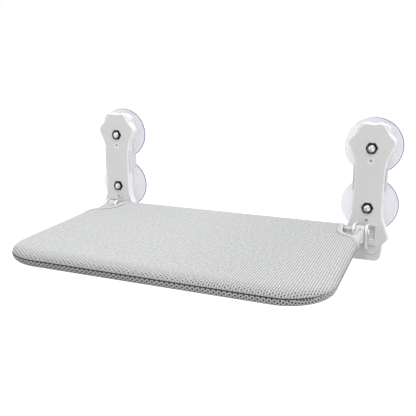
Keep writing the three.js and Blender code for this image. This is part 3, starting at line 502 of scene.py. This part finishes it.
def dress(node, material, round_edges=0.25 * MM):
    """Gives a carried-over CAD node its finish, eased edges and smooth curves."""
    piece = frame["nodes"][node]
    piece.data.materials.clear()
    piece.data.materials.append(material)
    weld = piece.modifiers.new("weld", "WELD")
    weld.merge_threshold = 0.01 * MM
    flat = piece.modifiers.new("join flats", "DECIMATE")
    flat.decimate_type, flat.angle_limit = "DISSOLVE", math.radians(1)
    if round_edges:
        bevel = piece.modifiers.new("ease", "BEVEL")
        bevel.limit_method, bevel.angle_limit = "ANGLE", math.radians(38)
        bevel.width, bevel.segments = round_edges, 2
        bevel.use_clamp_overlap = False
    for face in piece.data.polygons:
        face.use_smooth = True
    split = piece.modifiers.new("crease", "EDGE_SPLIT")
    split.split_angle = math.radians(40)
    piece.modifiers.new("even", "WEIGHTED_NORMAL").mode = "FACE_AREA"


for side in SIDES:
    dress(f"{side}_front_plate", SHELL)
    dress(f"{side}_spacer_frame", SPACER, 0)
    dress(f"{side}_spacer_base", SPACER, 0)
    dress(f"{side}_corner_arm", ARM)
    dress(f"{side}_hinge_pin", PIN, 0)
    dress(f"{side}_pin_keeper", BRIGHT, 0)
    for level in LEVELS:
        nut, screw = f"{side}_{level}_cup_nut", f"{side}_{level}_body_screw"
        dress(f"{side}_{level}_cup_bolt", BRIGHT, 0)
        dress(nut, black_nut(nut), 0.15 * MM)
        dress(screw, cross_head(screw), 0.08 * MM)
dress("tray_frame_tube", TUBE, 0)
dress("tray_cross_tube", TUBE, 0)

# ------------------------------------------------------------------ suction cups

CUP_STEPS = 96


def cup_profile(radius, front, rear, bolt_rear):
    """Half the cup's section, round the bolt's head, out to the lip and back to the middle.

    Each point is a radius in millimetres and a place along Y in metres.
    """
    r = radius / MM
    head_rear, head_front = bolt_rear + 0.3 * MM, bolt_rear - 2.5 * MM
    socket = [(0, head_rear), (8.3, head_rear), (8.3, head_front), (4.2, head_front)]
    neck = [(4.2, front + 0.4 * MM), (4.6, front), (10.4, front), (11.2, front + 0.3 * MM),
            (11.5, front + 1.1 * MM), (11.7, front + 2.4 * MM)]
    # from here on, millimetres in front of the cup's rear
    outside = [(12.6, 4.4), (14.6, 3.8), (18, 3.5), (22.4, 3.25), (22.8, 2.95), (28, 2.6),
               (33.6, 2.15), (34.2, 1.85), (36.6, 1.65), (r - 1.4, 1.7), (r - 0.6, 1.75)]
    lip = [(r - 0.15, 1.4), (r, 0.9), (r - 0.1, 0.3), (r - 0.5, 0)]
    sealing_face = [(26, 0), (20, 0.35), (12, 0.85), (5, 1.1), (0, 1.15)]
    behind = outside + lip + sealing_face
    return socket + neck + [(across, rear - ahead * MM) for across, ahead in behind]


def suction_cup(side, level):
    """A pressed cup turned about its bolt, with the bolt head's socket inside it."""
    node = f"{side}_{level}_suction_cup"
    lo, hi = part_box(node)
    radius, x = (hi.x - lo.x) / 2, (hi.x + lo.x) / 2
    z, rear = lo.z + radius, hi.y
    points, faces, rings = [], [], []
    for across, y in cup_profile(radius, lo.y, rear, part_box(f"{side}_{level}_cup_bolt")[1].y):
        steps = CUP_STEPS if across else 1
        rings.append(range(len(points), len(points) + steps))
        for i in range(steps):
            a = TURN * i / CUP_STEPS
            points.append((x + across * MM * math.cos(a), y, z + across * MM * math.sin(a)))
    for one, two in zip(rings, rings[1:]):
        faces += between(one, two)
    piece = link(f"{side}_{level}_clear_cup", mesh_from("cup", points, faces),
                 clear_pvc(f"pvc_{side}_{level}", x, z, radius))
    soften(piece)
    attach(piece, "brackets")
    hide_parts(node)


for side in SIDES:
    for level in LEVELS:
        suction_cup(side, level)

# ------------------------------------------------------------------ the mesh cover

CORNER = 56 * MM  # the front corners' radius
CLOTH = 1.0 * MM  # its thickness
TUBE_X, CROSS_Y = HALF_WIDTH - EDGE, BACK - EDGE  # the side and rear tubes' centre lines
SAG, SAG_REACH = 1.1 * MM, 34 * MM  # the dip in the middle, and how far in most of it is reached
SEAM_TOP, SEAM_LOW = math.radians(23), math.radians(10)  # the seam's lips, above the tubes' middle
WIDTH_STEPS, DEPTH_STEPS, CORNER_STEPS, WRAP_STEPS = 44, 26, 16, 7
INSETS = (12, 18, 26, 36, 48, 62, 78, 94, 110, 124, 134, 139)  # mm in, of the rings on the flat
FRONT_FADE = 22 * MM  # how far past the tube the front's painted shade reaches
ON_TOP, BELOW = 0.3, 0.84  # how much of that painted shade the tube's top and the underside have


def outline_ring(inset):
    """The tray's outline moved in by inset: matching points on every ring, with outward normals."""
    points = []
    x, back, front = HALF_WIDTH - inset, BACK - inset, FRONT + inset
    bend = max(CORNER - inset, 0.0)

    def straight(start, end, out, count):
        for i in range(count):
            spot = [a + (b - a) * i / count for a, b in zip(start, end)]
            points.append((Vector((*spot, 0)), Vector((*out, 0))))

    def corner(centre_x, start):
        for i in range(CORNER_STEPS):
            a = start + math.pi / 2 * i / CORNER_STEPS
            out = Vector((math.cos(a), math.sin(a), 0))
            points.append((Vector((centre_x, front + bend, 0)) + bend * out, out))

    straight((x, back), (-x, back), (0, 1), WIDTH_STEPS)
    straight((-x, back), (-x, front + bend), (-1, 0), DEPTH_STEPS)
    corner(-x + bend, math.pi)
    straight((-x + bend, front), (x - bend, front), (0, -1), WIDTH_STEPS)
    corner(x - bend, 1.5 * math.pi)
    straight((x, front + bend), (x, back), (1, 0), DEPTH_STEPS)
    return points


def frontness(out):
    """1 where the outline faces the front, down to 0 where it faces a side."""
    return min(max((-out.y - 0.35) / 0.55, 0.0), 1.0)


def slack(place, inset):
    """How far the cloth dips below the tubes' tops: a slow sag and slight unevenness."""
    dip = SAG * (1 - math.exp(-inset / SAG_REACH))
    x, y = place.x / MM, place.y / MM
    ripple = 0.16 * math.sin(x / 37 + 1.3) * math.sin(y / 29 + 0.4)  # in millimetres
    ripple += 0.08 * math.sin(x / 13) * math.sin(y / 17)
    return dip + ripple * MM * min(inset / (20 * MM), 1.0)


def cloth_panel(name, lip, sign, material):
    """One layer of the cover, from its seam round the tube to the tray's middle.

    The sign is 1 for the top and -1 for the underside. The lip is the angle round the tube at which
    the layer begins, from the tube's middle towards the layer's own side.
    """
    points, flat, nearness, rings = [], [], [], []

    def add_ring(spots, unrolled, fade):
        rings.append(range(len(points), len(points) + len(spots)))
        for place, out, height in spots:
            points.append(Vector((place.x, place.y, sign * height)))
            spread = place + out * unrolled
            flat.append((spread.x, spread.y))
            nearness.append(fade * frontness(out))

    for i in range(WRAP_STEPS + 1):
        angle = lip + (math.pi / 2 - lip) * i / WRAP_STEPS
        ring = outline_ring(EDGE - EDGE * math.cos(angle))
        spots = [(place, out, EDGE * math.sin(angle)) for place, out in ring]
        unrolled = EDGE * (math.pi / 2 - angle) - EDGE * math.cos(angle)
        fade = 1.0 - (1.0 - ON_TOP) * i / WRAP_STEPS if sign > 0 else BELOW
        add_ring(spots, unrolled, fade)
    for inset in (mm * MM for mm in INSETS):
        past_tube = inset - EDGE
        spots = [(place, out, EDGE - slack(place, past_tube)) for place, out in outline_ring(inset)]
        fade = max(0.0, 1.0 - past_tube / FRONT_FADE) * (ON_TOP if sign > 0 else BELOW)
        add_ring(spots, 0.0, fade)

    faces = []
    for one, two in zip(rings, rings[1:]):
        faces += between(one, two)
    faces.append(tuple(rings[-1]))
    mesh = bpy.data.meshes.new(name)
    mesh.from_pydata([tuple(p) for p in points], [], faces)
    layer = mesh.uv_layers.new(name="cloth")
    mesh.attributes.new("edge", "FLOAT", "POINT").data.foreach_set("value", nearness)
    for loop in mesh.loops:
        layer.data[loop.index].uv = flat[loop.vertex_index]
    build = bmesh.new()
    build.from_mesh(mesh)
    bmesh.ops.remove_doubles(build, verts=build.verts, dist=0.01 * MM)
    bmesh.ops.recalc_face_normals(build, faces=build.faces)
    largest = max(build.faces, key=lambda f: f.calc_area())
    if largest.normal.z * sign < 0:
        bmesh.ops.reverse_faces(build, faces=build.faces)
    build.to_mesh(mesh)
    build.free()
    piece = link(name, mesh, material)
    thick = piece.modifiers.new("thickness", "SOLIDIFY")
    thick.thickness, thick.offset = CLOTH, -1
    return piece


def seam_strip():
    """The tape set back in the seam between the cover's two layers, painted dark along the front as
    the seam's shade.
    """
    rings, points, ahead, faces = [], [], [], []
    steps, radius, tuck = 6, EDGE - 0.75 * MM, math.radians(5)
    low, high = SEAM_LOW - tuck, SEAM_TOP + tuck
    for i in range(steps + 1):
        angle = low + (high - low) * i / steps
        ring = outline_ring(EDGE - radius * math.cos(angle))
        rings.append(range(len(points), len(points) + len(ring)))
        for place, out in ring:
            points.append(Vector((place.x, place.y, radius * math.sin(angle))))
            ahead.append(frontness(out))
    for one, two in zip(rings, rings[1:]):
        faces += between(one, two)
    mesh = mesh_from("seam", points, faces)
    mesh.attributes.new("edge", "FLOAT", "POINT").data.foreach_set("value", ahead)
    piece = link("cover_seam_tape", mesh, SEAM_TAPE)
    thick = piece.modifiers.new("thickness", "SOLIDIFY")
    thick.thickness, thick.offset = 0.2 * MM, 0
    return piece


top_panel = cloth_panel("cover_top", SEAM_TOP, 1, TOP_MESH)
low_panel = cloth_panel("cover_underside", -SEAM_LOW, -1, LOW_MESH)
seam = seam_strip()

# ------------------------------------------------------------------ the hinge cut-outs

NOTCH_STEP = 1.0 * MM
ARM_END = CROSS_Y - 78 * MM  # where the arm's limb gives way to the side tube


def notch_curve():
    """The right notch's edge, from the tray's side to its back, as evenly spaced points."""
    # millimetres right of the side tube's centre line, and the place along Y
    knots = [(9, ARM_END + 4 * MM), (3, ARM_END + 18 * MM), (-3, ARM_END + 26.5 * MM),
             (-12, ARM_END + 31 * MM), (-18.5, ARM_END + 40 * MM), (-22, ARM_END + 58 * MM),
             (-24, CROSS_Y + 12 * MM)]
    knots = [Vector((TUBE_X + x * MM, y, 0)) for x, y in knots]
    ends = [2 * knots[0] - knots[1], *knots, 2 * knots[-1] - knots[-2]]
    dense, steps = [], 24
    for p0, p1, p2, p3 in zip(ends, ends[1:], ends[2:], ends[3:]):
        for i in range(steps):
            t = i / steps
            dense.append(0.5 * (2 * p1 + (p2 - p0) * t + (2 * p0 - 5 * p1 + 4 * p2 - p3) * t ** 2
                                + (3 * p1 - p0 - 3 * p2 + p3) * t ** 3))
    dense.append(knots[-1])
    return respaced(dense, NOTCH_STEP)


def respaced(points, step):
    """The same open path with points a fixed distance apart."""
    out, left = [points[0].copy()], step
    for a, b in zip(points, points[1:]):
        length = (b - a).length
        while length >= left:
            a = a + (b - a).normalized() * left
            out.append(a.copy())
            length, left = (b - a).length, step
        left -= length
    return out


NOTCH = notch_curve()


def notch_cutter(hand):
    edge = [Vector((hand * p.x, p.y, 0)) for p in NOTCH]
    far_x, far_y = hand * (HALF_WIDTH + 30 * MM), BACK + 20 * MM
    beyond = ((edge[-1].x, far_y), (far_x, far_y), (far_x, edge[0].y))
    edge += [Vector((x, y, 0)) for x, y in beyond]
    count, reach = len(edge), 20 * MM
    points = [p + Vector((0, 0, z)) for z in (-reach, reach) for p in edge]
    low, high = range(count), range(count, 2 * count)
    faces = [tuple(low), tuple(reversed(high))] + between(low, high)
    cutter = bpy.data.objects.new("cutter", mesh_from("cutter", points, faces))
    bpy.context.scene.collection.objects.link(cutter)
    return cutter


def apply_modifiers(piece):
    bpy.context.view_layer.update()
    evaluated = piece.evaluated_get(bpy.context.evaluated_depsgraph_get())
    mesh = bpy.data.meshes.new_from_object(evaluated)
    piece.modifiers.clear()
    piece.data = mesh


cutters = [notch_cutter(1), notch_cutter(-1)]
for piece in (top_panel, low_panel, seam):
    for cutter in cutters:
        cut = piece.modifiers.new("notch", "BOOLEAN")
        cut.operation, cut.object, cut.solver = "DIFFERENCE", cutter, "EXACT"
    apply_modifiers(piece)
    soften(piece)
for cutter in cutters:
    bpy.data.objects.remove(cutter)


def binding_path(outset, radius):
    """A loop round the right notch, at a radius about the tubes.

    It goes over the top from side to back, down round the rear tube, back along the underside and
    up round the side tube.
    """
    path = []
    for before, here, after in zip(NOTCH, NOTCH[1:], NOTCH[2:]):
        along = (after - before).normalized()
        place = here + Vector((along.y, -along.x, 0)) * outset
        side, back = max(place.x - TUBE_X, 0.0), max(place.y - CROSS_Y, 0.0)
        if math.hypot(side, back) < radius * 0.99:
            rise = math.sqrt(max(radius ** 2 - side ** 2 - back ** 2, 0.0))
            out = Vector((side, back, rise)).normalized()
            path.append((Vector((place.x, place.y, rise)), out))
    under = [(Vector((p.x, p.y, -p.z)), Vector((n.x, n.y, -n.z))) for p, n in reversed(path)]
    return with_turn(path, radius) + with_turn(under, radius)


def with_turn(path, radius):
    """Adds the turn round the tube, from the last point's height to its mirror image's."""
    last, normal = path[-1]
    count = 5
    start = math.atan2(normal.z, math.hypot(normal.x, normal.y))
    centre = last - normal * radius
    flat = Vector((normal.x, normal.y, 0)).normalized()
    turn = []
    for i in range(1, count):
        a = start * (1 - 2 * i / count)
        out = flat * math.cos(a) + Vector((0, 0, 1)) * math.sin(a)
        turn.append((centre + out * radius, out))
    return path + turn


def swept_band(name, path, half_width, half_thick, hand, material):
    """A flattened cord swept round a closed path of points and outward normals."""
    sides = 10
    points, rings, faces = [], [], []
    for i, (place, normal) in enumerate(path):
        along = (path[(i + 1) % len(path)][0] - path[i - 1][0]).normalized()
        across = along.cross(normal).normalized()
        out = across.cross(along).normalized()
        rings.append(range(len(points), len(points) + sides))
        for k in range(sides):
            a = TURN * k / sides
            p = place + across * (half_width * math.cos(a)) + out * (half_thick * math.sin(a))
            points.append((hand * p.x, p.y, p.z))
    for one, two in zip(rings, rings[1:] + rings[:1]):
        faces += between(one, two)
    piece = link(name, mesh_from("band", points, faces), material)
    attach(piece, "tray")
    return piece


# a dash of thread: how far along half its length, and how thick it is there
STITCH_SHAPE = ((-1.0, 0.35), (-0.8, 0.85), (-0.3, 1.0), (0.3, 1.0), (0.8, 0.85), (1.0, 0.35))
STITCH_SIDES = 6


def stitches(name, path, length, pitch, radius, hand):
    """Dashes of thread lying along a path, each sunk a little into the cloth."""
    walk, due, total = [], 0.0, 0.0
    for (a, na), (b, nb) in zip(path, path[1:]):
        step = (b - a).length
        while due <= total + step and step > 0:
            t = (due - total) / step
            walk.append((a.lerp(b, t), na.lerp(nb, t).normalized(), (b - a).normalized()))
            due += pitch
        total += step
    points, faces = [], []
    for place, normal, along in walk:
        across = along.cross(normal)
        rings = []
        for reach, girth in STITCH_SHAPE:
            rings.append(range(len(points), len(points) + STITCH_SIDES))
            for k in range(STITCH_SIDES):
                a = TURN * k / STITCH_SIDES
                wide, tall = radius * girth * math.cos(a), radius * girth * math.sin(a)
                p = place + along * (reach * length / 2) + across * wide + normal * tall
                points.append((hand * p.x, p.y, p.z))
        for one, two in zip(rings, rings[1:]):
            faces += between(one, two)
        faces += [tuple(rings[0]), tuple(reversed(rings[-1]))]
    piece = link(name, mesh_from("stitches", points, faces), THREAD)
    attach(piece, "tray")
    return piece


bindings, hems, threads = [], [], []
for side, hand in SIDES.items():
    ring = binding_path(outset=0.2 * MM, radius=EDGE - 0.35 * MM)
    band = swept_band(f"{side}_notch_tape", ring, 1.5 * MM, 1.1 * MM, hand, BINDING)
    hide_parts(f"{side}_notch_binding")
    bindings.append(band)
    strip = binding_path(outset=-3.2 * MM, radius=EDGE + 0.05 * MM)
    hems.append(swept_band(f"{side}_notch_hem", strip, 2.6 * MM, 0.45 * MM, hand, HEM))
    row = binding_path(outset=-5.2 * MM, radius=EDGE + 0.4 * MM)
    threads.append(stitches(f"{side}_notch_stitches", row, 1.7 * MM, 2.6 * MM, 0.25 * MM, hand))

for piece in (top_panel, low_panel, seam):
    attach(piece, "tray")
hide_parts("mesh_cover")

# ------------------------------------------------------------------ floor, background and light

FLOOR_HALF, FLOOR_DROP, FLOOR_GLOW = 6.0, 0.55, 0.62  # metres, and the strength that is seen
SKY_FRONT, SKY_SIDES = 0.64, 0.98  # the world's strength, dimmer in front of the object


def direct_view(tree):
    """1 for what the camera sees, also in metal and through glass; 0 for light on the object."""
    path = tree.nodes.new("ShaderNodeLightPath")
    seen = path.outputs["Is Camera Ray"]
    for name in ("Is Glossy Ray", "Is Transmission Ray"):
        both = tree.nodes.new("ShaderNodeMath")
        both.operation = "MAXIMUM"
        tree.links.new(seen, both.inputs[0])
        tree.links.new(path.outputs[name], both.inputs[1])
        seen = both.outputs[0]
    return seen


def floor():
    h = FLOOR_HALF
    points = [(x, y, -FLOOR_DROP) for x, y in ((-h, -h), (h, -h), (h, h), (-h, h))]
    mesh = mesh_from("floor", points, [(0, 1, 2, 3)])
    piece = bpy.data.objects.new("floor", mesh)
    bpy.context.scene.collection.objects.link(piece)
    s = Shader("floor", Roughness=0.9)
    s.set("Base Color", (0.62, 0.62, 0.62, 1))
    s.set("Emission Color", (1, 1, 1, 1))
    s.set("Emission Strength", s.times(direct_view(s.tree), FLOOR_GLOW))
    mesh.materials.append(s.material)


def world():
    made = bpy.data.worlds.new("studio")
    bpy.context.scene.world = made
    made.use_nodes = True
    tree = made.node_tree
    tree.nodes.clear()
    soft = tree.nodes.new("ShaderNodeBackground")
    soft.inputs["Color"].default_value = (0.97, 0.98, 1.0, 1)
    compass = tree.nodes.new("ShaderNodeTexCoord")
    parts = tree.nodes.new("ShaderNodeSeparateXYZ")
    tree.links.new(compass.outputs["Generated"], parts.inputs[0])
    sweep = tree.nodes.new("ShaderNodeMapRange")
    sweep.inputs["From Min"].default_value, sweep.inputs["From Max"].default_value = -1.0, 0.1
    sweep.inputs["To Min"].default_value = SKY_FRONT
    sweep.inputs["To Max"].default_value = SKY_SIDES
    tree.links.new(parts.outputs["Y"], sweep.inputs["Value"])
    tree.links.new(sweep.outputs[0], soft.inputs["Strength"])
    white = tree.nodes.new("ShaderNodeBackground")
    white.inputs["Color"].default_value = (1, 1, 1, 1)
    white.inputs["Strength"].default_value = 1.0
    choose = tree.nodes.new("ShaderNodeMixShader")
    out = tree.nodes.new("ShaderNodeOutputWorld")
    tree.links.new(direct_view(tree), choose.inputs[0])
    tree.links.new(soft.outputs[0], choose.inputs[1])
    tree.links.new(white.outputs[0], choose.inputs[2])
    tree.links.new(choose.outputs[0], out.inputs[0])


def lamp(name, place, target, size, power):
    data = bpy.data.lights.new(name, "AREA")
    data.shape, data.size, data.energy = "DISK", size, power
    piece = bpy.data.objects.new(name, data)
    piece.location = place
    aim = Vector(target) - Vector(place)
    piece.rotation_euler = aim.to_track_quat("-Z", "Y").to_euler()
    bpy.context.scene.collection.objects.link(piece)


floor()
world()
lamp("key", place=(0.5, -0.8, 1.7), target=(0, -0.15, 0), size=0.9, power=14.0)
lamp("fill", place=(-1.4, -1.2, 0.8), target=(0, -0.1, 0.05), size=1.0, power=4.0)
bpy.context.scene.view_settings.view_transform = "Standard"
